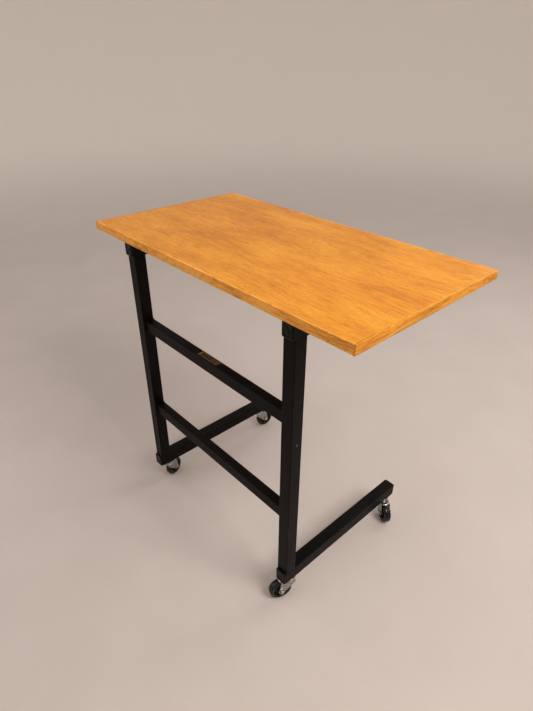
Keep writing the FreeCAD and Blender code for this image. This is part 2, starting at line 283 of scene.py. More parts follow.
def oak(name, grain_axis, tones, figure=1.0, gloss=0.36, worn=False, coat=0.10):
    """One cut of oak from three tones: shade, body and light."""
    finish = Oak(name, grain_axis)
    clouds = finish.along(210, 85, 4.0, 0.62)
    bands = finish.along(620, 70, 3.0, 0.6)
    streaks = finish.along(105, 7, 4.0, 0.6)
    fibres = finish.along(34, 1.9, 3.0, 0.65)
    pores = finish.ramp(finish.along(13, 1.2, 2.0, 0.5), 0.58, 0.68)
    pore_rows = finish.ramp(finish.along(500, 16, 2.0, 0.5), 0.38, 0.62)
    nested = (finish.along(700, 150, 1.0, 0.4) * 150).sine()
    flame = finish.ramp(nested, 0.35, 0.95) * finish.ramp(clouds, 0.42, 0.60)
    tone = (clouds - 0.5) * 0.86 + (bands - 0.5) * 0.40 + (streaks - 0.5) * 0.56 * figure
    tone = tone + (fibres - 0.5) * 0.98 * figure - flame * 0.07 * figure + 0.5
    shade, body, light = tones
    colour = finish.colours(tone, [(0.28, shade), (0.47, body), (0.66, light)])
    dark = tinted(shade, (0.48, 0.40, 0.35))
    colour = finish.blend(pores * (pore_rows * 0.6 + 0.25) * 0.8 * figure, colour, dark)
    roughness = (streaks - 0.5) * 0.16 + pores * 0.14 + gloss
    if worn:
        arris = finish.node("ShaderNodeAttribute", {"attribute_name": "arris"}, out="Fac")
        rubbed = finish.ramp(arris + (finish.clouds(45.0, 4.0, 0.6) - 0.5) * 0.8, 0.55, 1.0)
        colour = finish.blend(rubbed * 0.55, colour, tinted(light, (1.10, 1.16, 1.5)))
        roughness = roughness + rubbed * 0.12
    height = fibres * 0.4 + streaks * 0.3 - pores * 0.8
    return finish.shade(
        base_color=colour,
        roughness=roughness,
        normal=finish.bump(height, 0.10 * MM),
        specular_ior_level=0.25,
        coat_weight=coat,
        coat_roughness=0.30,
    )


amber = ((0.475, 0.153, 0.0080), (0.635, 0.234, 0.0130), (0.735, 0.304, 0.0240))
brown = ((0.480, 0.172, 0.0170), (0.740, 0.300, 0.0360), (0.880, 0.410, 0.0740))
honey = ((0.350, 0.114, 0.0040), (0.590, 0.217, 0.0085), (0.730, 0.314, 0.0220))
plain = ((0.330, 0.185, 0.0900), (0.450, 0.275, 0.1400), (0.550, 0.355, 0.1900))
oak_face = oak("oak_face", 0, amber)
oak_long_edge = oak("oak_long_edge", 0, brown, figure=1.2, gloss=0.44, worn=True, coat=0.04)
oak_short_edge = oak("oak_short_edge", 1, honey, figure=1.2, gloss=0.42, worn=True, coat=0.06)
oak_backing = oak("oak_backing", 0, plain, figure=0.7, gloss=0.62, coat=0.0)

# %% [markdown]
# The core shows only if the board is cut open.  It is chipboard: pressed flakes
# of many tones, which a Voronoi pattern gives in one node.


# %% Chipboard
def chipboard():
    finish = Finish("chipboard")
    sockets = {"Vector": finish.stretched((1.0, 1.0, 2.6)), "Scale": 420.0}
    flakes = finish.node("ShaderNodeTexVoronoi", None, sockets, out="Color")
    mixed = finish.node("ShaderNodeSeparateXYZ", None, {"Vector": flakes}, out="X")
    stops = [(0.0, (0.36, 0.24, 0.12)), (0.6, (0.56, 0.40, 0.22)), (1.0, (0.68, 0.53, 0.33))]
    tan = finish.colours(mixed, stops)
    return finish.shade(base_color=tan, roughness=mixed * 0.1 + 0.8, normal=finish.bump(mixed, 0.2 * MM))


chipboard_core = chipboard()

# %% [markdown]
# ## Satin black on steel tube
#
# Sprayed paint on a workshop frame is never one black.  It has a faint orange
# peel, it is a little duller where hands and shoes rub it, and it carries a few
# pale patches, ragged and at chosen places, broken up by noise, because
# scattered marks would look like dirt.  Most are scuffs where a chair or a shoe
# has struck the frame; the one low on the foot near its end is a pale patch only.


# %% Satin black paint
def black_paint(pale_patches):
    """Black paint with pale patches, each a place, a size and a strength."""
    finish = Finish("satin_black_paint")
    peel = finish.clouds(520.0, 2.0, 0.5)
    rub = finish.clouds(9.0, 5.0, 0.6)
    scratch = finish.clouds(60.0, 6.0, 0.75, finish.stretched((1.0, 1.0, 0.16)))
    rubs = finish.ramp(finish.clouds(400.0, 5.0, 0.75, finish.stretched((1.0, 0.45, 0.45))), 0.50, 0.62)
    ragged = (finish.clouds(150.0, 4.0, 0.7) - 0.5) * 2.2
    specks = finish.ramp(finish.clouds(330.0, 2.0, 0.5), 0.70, 0.76)
    marks = finish.ramp(scratch, 0.70, 0.80) * 0.10
    for place, size, strength in pale_patches:
        offset = finish.stretched([1 / s for s in size], finish.vector("SUBTRACT", finish.place, place))
        reach = finish.vector("LENGTH", offset, out="Value")
        patch = finish.ramp(1 - reach + ragged, 0.0, 0.9) * finish.ramp(1.25 - reach, 0.0, 0.6) * rubs
        marks = marks.largest(patch * strength)
    base = finish.colours(rub, [(0.3, (0.0017, 0.0014, 0.0012)), (0.7, (0.0040, 0.0032, 0.0027))])
    base = finish.blend(specks * 0.20, base, (0.040, 0.034, 0.030))
    base = finish.blend(marks, base, (0.32, 0.29, 0.26))
    return finish.shade(
        base_color=base,
        roughness=(rub - 0.5) * 0.16 + peel * 0.04 + marks * 0.3 + 0.42,
        normal=finish.bump(peel + rub * 0.4, 0.05 * MM),
        specular_ior_level=0.075,
    )


upright_low, upright_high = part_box("upright_tube_right")
foot_low, foot_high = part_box("foot_tube_right")


def pale_patch(y, z, half_width, half_height, strength):
    """A pale patch on the outer face of the right upright and foot, its size in millimetres."""
    return (upright_high.x, y, z), (6 * MM, half_width * MM, half_height * MM), strength


paint = black_paint(
    [
        pale_patch(upright_low.y + 22 * MM, upright_high.z - 321 * MM, 5, 12, 0.85),
        pale_patch(upright_low.y + 2 * MM, foot_low.z + 233 * MM, 6, 35, 0.30),
        # A pale patch painted low on the foot's outer face, near its end by the caster.
        pale_patch(foot_high.y - 72 * MM, foot_low.z + 12 * MM, 18, 8, 0.34),
        pale_patch(upright_low.y + 30 * MM, foot_low.z + 90 * MM, 10, 18, 0.16),
    ]
)

# %% [markdown]
# ## The small materials
#
# Each small part gets its own finish.  Plated steel is a metal with cloudy
# roughness and a few grey stains.  Moulded plastic has a fine, even grain.
# Rubber is black with a little blue in it, and picks up pale dust where it rolls.


# %% Plated steel, plastic and rubber
def plated(name, tint, stain, roughness):
    finish = Finish(name)
    cloud = finish.clouds(90.0, 4.0, 0.6)
    film = finish.ramp(finish.clouds(38.0, 5.0, 0.7), 0.52, 0.74)
    brushed = finish.clouds(700.0, 2.0, 0.5, finish.stretched((1.0, 1.0, 0.2)))
    return finish.shade(
        base_color=finish.blend(film * 0.55, tint, stain),
        metallic=1 - film * 0.25,
        roughness=(cloud - 0.5) * 0.22 + film * 0.22 + roughness,
        normal=finish.bump(brushed + cloud, 0.02 * MM),
    )


def moulded(name, dark, light, roughness, grain, gloss):
    finish = Finish(name)
    fine = finish.clouds(1400.0, 2.0, 0.5)
    cloud = finish.clouds(34.0, 4.0, 0.6)
    return finish.shade(
        base_color=finish.colours(cloud, [(0.3, dark), (0.7, light)]),
        roughness=(cloud - 0.5) * 0.2 + fine * 0.06 + roughness,
        normal=finish.bump(fine, grain),
        specular_ior_level=gloss,
    )


def rubber(name):
    finish = Finish(name)
    dust = finish.ramp(finish.clouds(120.0, 6.0, 0.7), 0.45, 0.72)
    low_down = 1 - finish.ramp(finish.axis("Z"), 0.0, 85 * MM)
    dusted = dust * (low_down * 0.26 + 0.05)
    return finish.shade(
        base_color=finish.blend(dusted, (0.0036, 0.0044, 0.0066), (0.055, 0.052, 0.050)),
        roughness=dust * 0.20 + 0.24,
        normal=finish.bump(finish.clouds(900.0, 3.0, 0.6), 0.05 * MM),
        specular_ior_level=0.28,
    )


zinc = plated("bright_zinc", (0.37, 0.355, 0.335), (0.17, 0.160, 0.15), 0.22)
steel = plated("plain_steel", (0.42, 0.42, 0.42), (0.20, 0.19, 0.18), 0.32)
screw_zinc = plated("screw_zinc", (0.62, 0.58, 0.46), (0.34, 0.28, 0.18), 0.28)
cap_black = (0.0026, 0.0026, 0.0027), (0.0052, 0.0052, 0.0053)
wheel_black = (0.0060, 0.0062, 0.0070), (0.0130, 0.0132, 0.0150)
cap_plastic = moulded("cap_plastic", *cap_black, 0.28, 0.04 * MM, 0.11)
wheel_plastic = moulded("wheel_plastic", *wheel_black, 0.38, 0.05 * MM, 0.45)
tyre_rubber = rubber("tyre_rubber")

# %% [markdown]
# ## Dressing the parts that stay
#
# The tubes, the veneers, the core and the weld nuts already have their true
# shape in the packed model, so they only need a finish.  Their meshes are left
# as they are, and the material goes into their slots.


# %% Finishes for the packed nodes
def dress(prefixes, material):
    """Gives every node whose name starts so a material."""
    dressed = [node for node in nodes if node.startswith(prefixes)]
    for node in dressed:
        slots = nodes[node].data.materials
        slots.clear()
        slots.append(material)
    print(material.name, "on", len(dressed), "nodes")


dress(("foot_tube", "upright_tube", "arm_tube", "crossbar"), paint)
dress("board_face_veneer", oak_face)
dress("board_back_veneer", oak_backing)
dress("board_core", chipboard_core)
dress("weld_nuts", steel)

# %% [markdown]
# ## A bench of mesh helpers
#
# Most small parts are turned on a lathe, or lofted through a few loops.  Two
# helpers cover them: `turned` spins an outline round an axis, and `lofted`
# joins loops of points that have equal counts.  Both lay quads between rows of
# points, and `rounded` softens chosen corners of an outline first.


# %% Helpers for drawing shapes
def even_turns(count, shift=0.0):
    """Even turns round a circle, in radians."""
    return [2 * math.pi * (i + shift) / count for i in range(count)]


def polar(radius, turn):
    return radius * math.cos(turn), radius * math.sin(turn)


def joined(mesh, rows, closed=True):
    """Lays quads between rows of vertices; closed rows run round."""
    for one, two in zip(rows, rows[1:]):
        for i in range(len(one) if closed else len(one) - 1):
            j = (i + 1) % len(one)
            mesh.faces.new((one[i], one[j], two[j], two[i]))


def lofted(mesh, loops, closed=False):
    """Joins loops of points; a closed loft joins the last loop to the first."""
    rings = [[mesh.verts.new(point) for point in loop] for loop in loops]
    joined(mesh, rings + rings[:1] if closed else rings)
    if not closed:
        mesh.faces.new(rings[0])
        mesh.faces.new(rings[-1])


def turned(mesh, outline, space, segments=64):
    """Spins a closed outline of (radius, height) points round the Z of a space."""
    spun = [[(*polar(r, turn), h) for r, h in outline] for turn in even_turns(segments)]
    lofted(mesh, [[space @ Vector(point) for point in loop] for loop in spun], closed=True)


def rounded(outline, corners, steps=4):
    """Rounds chosen corners of an outline: corners holds {index: radius}."""
    points = [Vector(p) for p in outline]
    smooth = []
    for i, here in enumerate(points):
        if i not in corners:
            smooth.append(tuple(here))
            continue
        before = (points[i - 1] - here).normalized()
        after = (points[(i + 1) % len(points)] - here).normalized()
        half = math.acos(max(-1.0, min(1.0, before.dot(after)))) / 2
        centre = here + (before + after).normalized() * (corners[i] / math.sin(half))
        start = here + before * (corners[i] / math.tan(half)) - centre
        sweep = (math.pi - 2 * half) * (1 if before.x * after.y - before.y * after.x < 0 else -1)
        for k in range(steps + 1):
            c, s = math.cos(sweep * k / steps), math.sin(sweep * k / steps)
            spun = Vector((start.x * c - start.y * s, start.x * s + start.y * c))
            smooth.append(tuple(centre + spun))
    return smooth


print("a rounded square has", len(rounded([(0, 0), (1, 0), (1, 1), (0, 1)], {1: 0.2, 2: 0.2})), "points")

# %% [markdown]
# A drawn shape then has to become a piece.  Its doubles are merged and its
# faces turned outwards, its round faces are shaded smooth, and it is given its
# material, its slot and its body, and the node that it stands for is hidden.


# %% Helpers for finishing pieces
def mesh_data(name, mesh, sharp=None):
    """Ends a bmesh as plain mesh data, shaded smooth below an angle in degrees."""
    bmesh.ops.remove_doubles(mesh, verts=mesh.verts, dist=1e-6)
    bmesh.ops.recalc_face_normals(mesh, faces=mesh.faces)
    data = bpy.data.meshes.new(name)
    mesh.to_mesh(data)
    mesh.free()
    if sharp:
        data.shade_smooth()
        data.set_sharp_from_angle(angle=math.radians(sharp))
    return data


def added(name, data):
    """A new object in the scene."""
    thing = bpy.data.objects.new(name, data)
    bpy.context.scene.collection.objects.link(thing)
    return thing


def evaluated(thing):
    """A plain mesh of what an object's modifiers make of it."""
    graph = bpy.context.evaluated_depsgraph_get()
    return bpy.data.meshes.new_from_object(thing.evaluated_get(graph))


def bake(thing):
    """Swaps an object's mesh for what its modifiers make of it."""
    result = evaluated(thing)
    thing.modifiers.clear()
    thing.data = result


def seated(piece, body, node=None):
    """Puts a piece on its body and hides the node that it stands for."""
    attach(piece, body)
    if node:
        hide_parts(node)
    print("made", piece.name, len(piece.data.polygons), "faces on", body)


def finished(name, mesh, material, body, node=None, sharp=35):
    """Turns a bmesh into a piece on a body, with its material in its slot."""
    data = mesh_data(name, mesh, sharp)
    data.materials.append(material)
    seated(added(name, data), body, node)


print("bodies to ride on", len(joints) + 1)

# %% [markdown]
# ## Lippings
#
# A lipping is a strip of solid oak glued to the edge of the board.  Its outer
# corners are sanded to a small round, and years of use leave dents in it.  A
# plain box with a bevel would look machine-fresh, so each strip is lofted
# through many sections, and every section's rounded corners are pushed in a
# little by noise.  The same loft stores how near each point is to a corner, in
# an attribute called arris, and the oak finish rubs the lacquer off there.


# %% Loft the four lippings
ARRIS = 1.3 * MM
DENT = 0.35 * MM
SECTION_GAP = 6 * MM


def lipping_section(width, height):
    """A strip's section from its inner face outwards, with the weight of wear at each point."""
    outline = [(0, 0), (width, 0), (width, height), (0, height)]
    section = rounded(outline, {1: ARRIS, 2: ARRIS}, steps=5)
    near = [math.hypot(width - out, min(up, height - up)) for out, up in section]
    return section, [max(0.0, 1 - distance / (2.2 * ARRIS)) for distance in near]


def make_lipping(side, outward, material):
    """One lipping, from the box of its node and the direction that it faces."""
    low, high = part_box("lipping_" + side)
    run = 0 if outward.x == 0 else 1
    across = 1 - run
    length, width, height = (high - low)[run], (high - low)[across], high.z - low.z
    section, worn = lipping_section(width, height)
    inner = low[across] if outward[across] > 0 else high[across]
    count = round(length / SECTION_GAP)
    mesh = bmesh.new()
    arris = mesh.verts.layers.float.new("arris")
    loops = []
    for i in range(count + 1):
        loop = []
        for (out, up), wear in zip(section, worn):
            point = Vector((0, 0, low.z + up))
            point[run] = low[run] + length * i / count
            point[across] = inner + outward[across] * out
            bite = noise.fractal(point * 55, 1.0, 2.0, 3) - 0.18
            push = max(0.0, bite) * DENT * wear * 2
            point[across] -= outward[across] * push
            point.z += push if up < height / 2 else -push
            loop.append(point)
        loops.append(loop)
    lofted(mesh, loops)
    for index, vertex in enumerate(mesh.verts):
        vertex[arris] = worn[index % len(section)]
    node = "lipping_" + side
    finished("lipping_strip_" + side, mesh, material, "frame", node, sharp=40)


make_lipping("back", Vector((0, -1, 0)), oak_long_edge)
make_lipping("front", Vector((0, 1, 0)), oak_long_edge)
make_lipping("left", Vector((-1, 0, 0)), oak_short_edge)
make_lipping("right", Vector((1, 0, 0)), oak_short_edge)

# %% [markdown]
# ## End caps
#
# Each tube end is closed by a black moulded cap: a pillow-shaped head with
# large rounds, a shallow dish in its face, and a hollow plug that grips the
# tube.  A beveled box can't give the round dish in a square face, so the cap is
# lofted from the plug outwards through loops that start as rounded rectangles
# and end as circles.


# %% Loft the end caps
CAP_POINTS = 72
CAP_CORNER = 6.0 * MM
CAP_ROUND = 5.2 * MM
DISH_RADIUS = 13.0 * MM
DISH_DEPTH = 1.0 * MM
PLUG_LENGTH = 14.0 * MM
PLUG_INSET = 2.1 * MM
PLUG_WALL = 2.0 * MM


def rectangle_loop(half_x, half_z, corner):
    """Points round a rounded rectangle, at even turns, so that they pair with a circle's."""
    cx, cz = half_x - corner, half_z - corner
    loop = []
    for turn in even_turns(CAP_POINTS, 0.5):
        x, z = abs(math.cos(turn)), abs(math.sin(turn))
        reach = min(half_x / x, half_z / z)
        if reach * x > cx and reach * z > cz:
            dot = x * cx + z * cz
            reach = dot + math.sqrt(max(0.0, dot * dot - cx * cx - cz * cz + corner * corner))
        loop.append(polar(reach, turn))
    return loop


def cap_loops(half_x, half_z, head):
    """Every loop of a cap as (x, z) points and a height, from inside the plug to the dish."""
    stack = []

    def ring(inset, height, corner):
        stack.append((rectangle_loop(half_x - inset, half_z - inset, corner), height))

    def circle(radius, height):
        stack.append(([polar(radius, turn) for turn in even_turns(CAP_POINTS, 0.5)], height))

    bore = PLUG_INSET + PLUG_WALL
    ring(bore, -0.5 * MM, 0.5 * MM)
    ring(bore, -PLUG_LENGTH, 0.5 * MM)
    ring(PLUG_INSET + 0.6 * MM, -PLUG_LENGTH, 0.8 * MM)
    ring(PLUG_INSET, -PLUG_LENGTH + 0.8 * MM, 1.0 * MM)
    ring(PLUG_INSET, 0, 1.0 * MM)
    ring(0.3 * MM, 0, CAP_CORNER)
    ring(0, 0.3 * MM, CAP_CORNER)
    steps = 8
    for i in range(steps + 1):
        turn = math.pi / 2 * i / steps
        inset = CAP_ROUND * (1 - math.cos(turn))
        height = head - CAP_ROUND * (1 - math.sin(turn))
        ring(inset, height, max(CAP_CORNER - inset, 2.2 * MM))
    circle(DISH_RADIUS + 0.5 * MM, head)
    circle(DISH_RADIUS, head - 0.25 * MM)
    circle(DISH_RADIUS - 0.6 * MM, head - DISH_DEPTH)
    for share, depth in ((0.62, 1.0), (0.54, 0.55), (0.30, 0.42), (0.06, 0.40)):
        circle(DISH_RADIUS * share, head - DISH_DEPTH * depth)
    return stack


def make_cap(node):
    """A cap over the box of its node, facing out of its own end of the tube."""
    low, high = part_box(node)
    middle = (low + high) / 2
    facing = 1 if "_front_" in node else -1
    head = high.y - low.y - PLUG_LENGTH
    seat = high.y - head if facing > 0 else low.y + head
    half_x, half_z = (high.x - low.x) / 2, (high.z - low.z) / 2
    loops = [
        [Vector((middle.x + x, seat + facing * height, middle.z + z)) for x, z in loop]
        for loop, height in cap_loops(half_x, half_z, head)
    ]
    mesh = bmesh.new()
    lofted(mesh, loops)
    finished(node + "_moulding", mesh, cap_plastic, "frame", node, sharp=38)


for node in sorted(nodes):
    if "_cap_" in node:
        make_cap(node)

# %% [markdown]
# ## A recipe class for Geometry Nodes
#
# Screws, bearing balls, weld ripples and wheel ribs all repeat.  Geometry Nodes
# suits them: one tree holds the rule, its named inputs hold the sizes, and the
# same tree serves every place.  The class below builds a tree with inputs, runs
# it once on a carrier object, and hands back a plain mesh, because the finished
# desk must not depend on a live modifier.


# %% Geometry Nodes helper
class Recipe(Sheet):
    """A Geometry Nodes tree with named inputs."""

    kinds = {"INT": "NodeSocketInt", "FLOAT": "NodeSocketFloat", "OBJECT": "NodeSocketObject"}

    def __init__(self, name, inputs):
        tree = bpy.data.node_groups.new(name, "GeometryNodeTree")
        tree.interface.new_socket("Geometry", in_out="INPUT", socket_type="NodeSocketGeometry")
        self.identifiers = {}
        for key, kind in inputs.items():
            socket = tree.interface.new_socket(key, in_out="INPUT", socket_type=self.kinds[kind])
            self.identifiers[key] = socket.identifier
        tree.interface.new_socket("Geometry", in_out="OUTPUT", socket_type="NodeSocketGeometry")
        super().__init__(tree)
        self.entry = tree.nodes.new("NodeGroupInput")

    def value(self, key):
        return Wire(self, self.entry.outputs[key])

    def ring(self, count, radius):
        sockets = {"Vertices": self.value(count), "Radius": self.value(radius)}
        return self.node("GeometryNodeMeshCircle", None, sockets)

    def ball(self, segments, rings, radius):
        sockets = {"Segments": segments, "Rings": rings, "Radius": radius}
        return self.node("GeometryNodeMeshUVSphere", None, sockets)

    def copies(self, points, part, **more):
        """A copy of a part on every point."""
        sockets = {"Points": points, "Instance": part, **more}
        return self.node("GeometryNodeInstanceOnPoints", None, sockets)

    def end(self, geometry, material, smooth=False):
        """Makes the copies real, sets their material and closes the tree."""
        if smooth:
            geometry = self.node("GeometryNodeSetShadeSmooth", None, {"Geometry": geometry})
        solid = self.node("GeometryNodeRealizeInstances", None, {"Geometry": geometry})
        inked = self.node("GeometryNodeSetMaterial", None, {"Geometry": solid, "Material": material})
        self.node("NodeGroupOutput", None, {"Geometry": inked})
        return self

    def run(self, name, carrier, values):
        """Evaluates the tree on a carrier's data and returns the result as a plain piece."""
        holder = added(name, carrier)
        modifier = holder.modifiers.new("recipe", "NODES")
        modifier.node_group = self.tree
        for key, value in values.items():
            modifier[self.identifiers[key]] = value
        result = evaluated(holder)
        bpy.data.objects.remove(holder)
        result.name = name
        print("recipe", self.tree.name, "gave", name, len(result.polygons), "faces")
        return added(name, result)


def points_mesh(places=((0, 0, 0),)):
    """A carrier with one point at each place, or a single one at the origin."""
    mesh = bpy.data.meshes.new("places")
    mesh.from_pydata([tuple(place) for place in places], [], [])
    return mesh


def polylines(name, runs):
    """A curve with one straight spline through each run of points."""
    curve = bpy.data.curves.new(name, "CURVE")
    curve.dimensions = "3D"
    for run in runs:
        spline = curve.splines.new("POLY")
        spline.points.add(len(run) - 1)
        for point, place in zip(spline.points, run):
            point.co = (*place, 1)
    return curve


print("a recipe takes", sorted(Recipe.kinds))

# %% [markdown]
# ## Weld beads
#
# The tubes are welded where they meet.  A weld is a row of overlapping ripples,
# each a frozen puddle.  A swept half-round would be too smooth, so the recipe
# walks along the joint and drops a flattened ball every millimetre and a bit,
# each turned along the joint and grown or shrunk a little by a seeded random
# value.  The paint covers the weld, so it shares the tube's finish.


# %% Lay the weld beads
WELD_INSET = 4 * MM


def weld_recipe():
    recipe = Recipe("weld_ripples", {"Pitch": "FLOAT", "Bead": "FLOAT", "Seed": "INT"})
    path = {"Curve": recipe.value("Geometry"), "Length": recipe.value("Pitch")}
    walk = recipe.node("GeometryNodeCurveToPoints", {"mode": "LENGTH"}, path)
    along_joint = Wire(recipe, walk.socket.node.outputs["Rotation"])
    smallest, largest = 0.86, 1.14
    spread = {2: smallest, 3: largest, "Seed": recipe.value("Seed")}
    grown = recipe.node("FunctionNodeRandomValue", {"data_type": "FLOAT"}, spread, out=1)
    size = recipe.value("Bead") * grown
    scale = recipe.node("ShaderNodeCombineXYZ", None, {"X": size, "Y": size, "Z": size * 0.85})
    ripple = recipe.ball(8, 5, 1.0)
    return recipe.end(recipe.copies(walk, ripple, Rotation=along_joint, Scale=scale), paint, smooth=True)


def joint_runs():
    """The lines along which the tubes meet."""
    runs = []
    for side, inward in (("left", 1), ("right", -1)):
        low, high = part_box("upright_tube_" + side)
        face = high.x if inward > 0 else low.x
        for z in (low.z, high.z):
            runs.append([(low.x + WELD_INSET, high.y, z), (high.x - WELD_INSET, high.y, z)])
        for bar in ("crossbar_lower", "crossbar_upper"):
            a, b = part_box(bar)
            corners = [(face, a.y, a.z), (face, b.y, a.z), (face, b.y, b.z), (face, a.y, b.z)]
            runs.append(corners + corners[:1])
    return runs


weld_sizes = {"Pitch": 1.1 * MM, "Bead": 1.7 * MM, "Seed": 4}
beads = weld_recipe().run("weld_beads", polylines("weld_paths", joint_runs()), weld_sizes)
seated(beads, "frame")

# %% [markdown]
# ## Screws under the arms
#
# The board is held by pan-head screws that pass up through the arms.  One screw
# is drawn with care, with a domed head and a turned thread, and its cross
# recess is cut out by two crossed wedges, as a punch would press it.


# %% Draw one screw
SCREW_RADIUS = 2.5 * MM
SCREW_HEAD = 3 * MM
SCREW_POINT = 5 * MM
SCREW_RINGS = 22


def draw_screw(length, head_radius):
    """A screw that stands on its head at the origin."""
    outline = [(0.0, 0.0)]
    dome = 6
    for i in range(dome + 1):
        turn = math.pi / 2 * i / dome
        radius = head_radius * (0.45 + 0.55 * math.sin(turn))
        outline.append((radius, SCREW_HEAD * 0.75 * (1 - math.cos(turn))))
    outline += [(head_radius, SCREW_HEAD), (SCREW_RADIUS, SCREW_HEAD)]
    start, end = SCREW_HEAD + length * 0.42, length - SCREW_POINT
    outline.append((SCREW_RADIUS * 0.9, start))
    pitch = (end - start) / SCREW_RINGS
    root = SCREW_RADIUS * 0.72
    for i in range(SCREW_RINGS):
        at = start + (end - start) * i / SCREW_RINGS
        outline += [(root, at + pitch * 0.3), (SCREW_RADIUS, at + pitch * 0.5), (root, at + pitch * 0.7)]
    outline += [(root, end), (0.0, length)]
    mesh = bmesh.new()
    turned(mesh, outline, Matrix.Identity(4), segments=24)
    return cut_cross(added("screw", mesh_data("screw", mesh, sharp=40)), head_radius)


def cut_cross(screw, head_radius):
    """Cuts a cross recess into the head with two crossed wedges."""
    wide, thin, deep = head_radius * 0.55, head_radius * 0.13, head_radius * 0.42
    corners = ((-wide, -thin), (wide, -thin), (wide, thin), (-wide, thin))
    wedges = bmesh.new()
    for turn in (0, math.pi / 2):
        spin = Matrix.Rotation(turn, 4, "Z")
        levels = ((-1 * MM, 1.0), (deep, 0.45))
        lofted(wedges, [[spin @ Vector((x * grow, y * grow, z)) for x, y in corners] for z, grow in levels])
    cutter = added("cross", mesh_data("cross", wedges))
    cut = screw.modifiers.new("cross", "BOOLEAN")
    cut.object = cutter
    cut.operation = "DIFFERENCE"
    cut.use_self = True
    bake(screw)
    bpy.data.objects.remove(cutter)
    return screw


print("a screw's thread has", SCREW_RINGS, "rings")

# %% [markdown]
# A recipe stands a copy of the screw on each place.  The places come from the
# solids of the packed node: each screw there is a separate cluster of points
# along Y.


# %% Stand a screw in each hole
SCREW_GAP = 20 * MM


def screw_places(node):
    """The middle of each screw in a node, found by grouping its points along Y."""
    ys = sorted(vertex.co.y for vertex in nodes[node].data.vertices)
    groups = [[ys[0]]]
    for y in ys[1:]:
        if y - groups[-1][-1] > SCREW_GAP:
            groups.append([])
        groups[-1].append(y)
    low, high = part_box(node)
    return [Vector(((low.x + high.x) / 2, (g[0] + g[-1]) / 2, low.z)) for g in groups]


screw_row = Recipe("screw_row", {"Part": "OBJECT"})
part = screw_row.node("GeometryNodeObjectInfo", None, {"Object": screw_row.value("Part")}, out="Geometry")
screw_row.end(screw_row.copies(screw_row.value("Geometry"), part), screw_zinc)
for side in ("left", "right"):
    node = "board_screws_" + side
    low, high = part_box(node)
    one_screw = draw_screw(high.z - low.z, (high.x - low.x) / 2)
    row = screw_row.run("screws_" + side, points_mesh(screw_places(node)), {"Part": one_screw})
    bpy.data.objects.remove(one_screw)
    seated(row, "frame", node)

# %% [markdown]
# ## Inside a caster
#
# From the foot down, a swivel caster is a threaded stem with a hexagon collar,
# a pressed cup, a ring of balls, the fork, and a kingpin with a rivet head that
# holds them together.  Below it, a bolt and a nut carry the wheel.  All of them
# turn round an axis except the fork.  A nut's corners are cut by a cone, which
# is what makes it look like a nut, so the hexagon is lofted from loops whose
# radius is the smaller of the hexagon's and the cone's.


# %% Hexagons with turned corners
HEXAGON_POINTS = 72
CONE_END = 0.47


def hexagon(mesh, flats, heights, space, chamfer, both=False, hole=0.0):
    """A nut or a bolt head between two heights, round the Z of a space."""
    bottom, top = heights
    corner = flats / math.sqrt(3)
    steps = [0.0, 0.35, 0.7, 1.0]
    cone = [corner - (corner - flats * CONE_END) * s for s in steps]
    levels = [(top - chamfer + chamfer * s, limit) for s, limit in zip(steps, cone)]
    if both:
        lower = [(bottom + chamfer * (1 - s), limit) for s, limit in zip(steps, cone)]
        levels = lower[::-1] + levels
    else:
        levels = [(bottom, corner)] + levels
    if hole:
        levels += [(levels[-1][0], hole), (levels[0][0], hole)]
    loops = []
    for height, limit in levels:
        loop = []
        for turn in even_turns(HEXAGON_POINTS):
            wedge = (turn % (math.pi / 3)) - math.pi / 6
            reach = min(flats / 2 / math.cos(wedge), limit)
            loop.append(space @ Vector((*polar(reach, turn), height)))
        loops.append(loop)
    lofted(mesh, loops, closed=bool(hole))


def caster_piece(caster, name, mesh, material, part, body="frame", sharp=35):
    """Finishes a piece that stands for one of a caster's nodes."""
    node = f"{part}_{caster.name}"
    finished(f"{name}_{caster.name}", mesh, material, body, node, sharp=sharp)


print("a hexagon of 13 mm is", round(13 / math.cos(math.pi / 6), 2), "mm over its corners")

# %% [markdown]
# The stem and the cup stay with the foot.  The stem is cut with a thread above
# its collar, and the kingpin below it ends in a domed rivet head.


# %% Stem and cup
STEM_RADIUS = 5.0 * MM
STEM_PITCH = 1.5 * MM
COLLAR_FLATS = 19 * MM
COLLAR_HEIGHT = 4.0 * MM
COLLAR_CHAMFER = 1.2 * MM
KINGPIN_RADIUS = 6.0 * MM
RIVET_HEIGHT = 3.0 * MM
RIVET_RADIUS = 9.0 * MM
CUP_WALL = 1.8 * MM


def make_stem(caster):
    low, high = caster.box("stem")
    collar_foot = caster.box("swivel_race")[1].z
    foot = collar_foot + COLLAR_HEIGHT
    thread = [(0.0, foot - 0.5 * MM), (STEM_RADIUS, foot - 0.5 * MM)]
    for i in range(int((high.z - foot - 1 * MM) / STEM_PITCH)):
        at = foot + i * STEM_PITCH
        thread += [(STEM_RADIUS, at + STEM_PITCH * 0.35), (STEM_RADIUS * 0.87, at + STEM_PITCH * 0.75)]
    thread += [(STEM_RADIUS * 0.8, high.z), (0.0, high.z)]
    pin_top, rivet_top = collar_foot + 0.2 * MM, low.z + RIVET_HEIGHT
    pin = [(0.0, pin_top), (KINGPIN_RADIUS, pin_top), (KINGPIN_RADIUS, rivet_top)]
    for share, rise in ((1, 1), (1, 0.55), (0.9, 0.2), (0.62, 0), (0, 0)):
        pin.append((RIVET_RADIUS * share, low.z + RIVET_HEIGHT * rise))
    mesh = bmesh.new()
    turned(mesh, thread, caster.space, 32)
    hexagon(mesh, COLLAR_FLATS, (collar_foot, foot), caster.space, COLLAR_CHAMFER, both=True)
    turned(mesh, pin, caster.space, 48)
    caster_piece(caster, "stem_and_pin", mesh, zinc, "stem")


